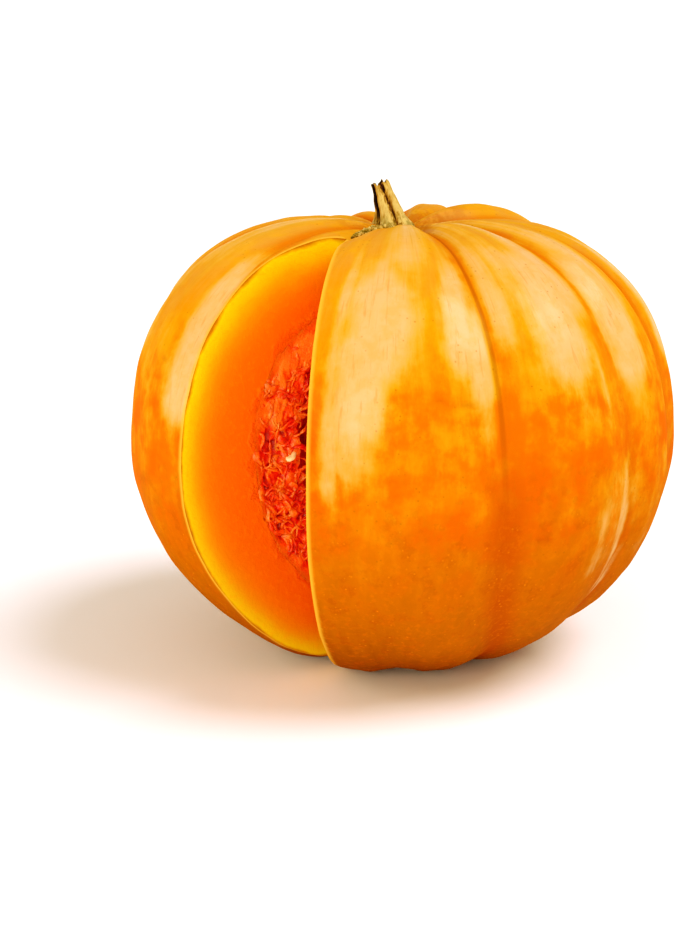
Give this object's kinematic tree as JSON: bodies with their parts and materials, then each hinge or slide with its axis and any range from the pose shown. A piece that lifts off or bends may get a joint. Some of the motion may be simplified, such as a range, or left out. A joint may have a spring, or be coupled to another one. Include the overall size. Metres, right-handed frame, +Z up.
{
  "type": "pumpkin",
  "caption": "Large ribbed orange pumpkin with a dry stem, open at one side where a wedge has been cut out, showing flesh, fibrous pulp and seeds.",
  "frame": {"origin": "on the surface the fruit rests on, in the middle of its ring of small flats, under the middle of the stem dimple", "axes": "+Z up along the fruit's axis from the blossom end to the stem end, -Y towards the side where the notch and the stem's long toe are seen, +X to the right of that view"},
  "size_m": [0.259, 0.2603, 0.2265],
  "materials": {
    "rind_and_flesh": "satin",
    "pulp": "satin",
    "stem": "matte",
    "seed": "satin"
  },
  "bodies": {
    "root": {"fruit_wall": "rind_and_flesh", "pulp": "pulp", "stem": "stem", "seed_01": "seed", "seed_02": "seed", "seed_03": "seed", "seed_04": "seed", "seed_05": "seed", "seed_06": "seed", "seed_07": "seed", "seed_08": "seed", "seed_09": "seed", "seed_10": "seed", "seed_11": "seed", "seed_12": "seed", "seed_13": "seed", "seed_14": "seed", "seed_15": "seed", "seed_16": "seed", "seed_17": "seed", "seed_18": "seed", "seed_19": "seed", "seed_20": "seed", "seed_21": "seed", "seed_22": "seed"}
  },
  "joints": []
}
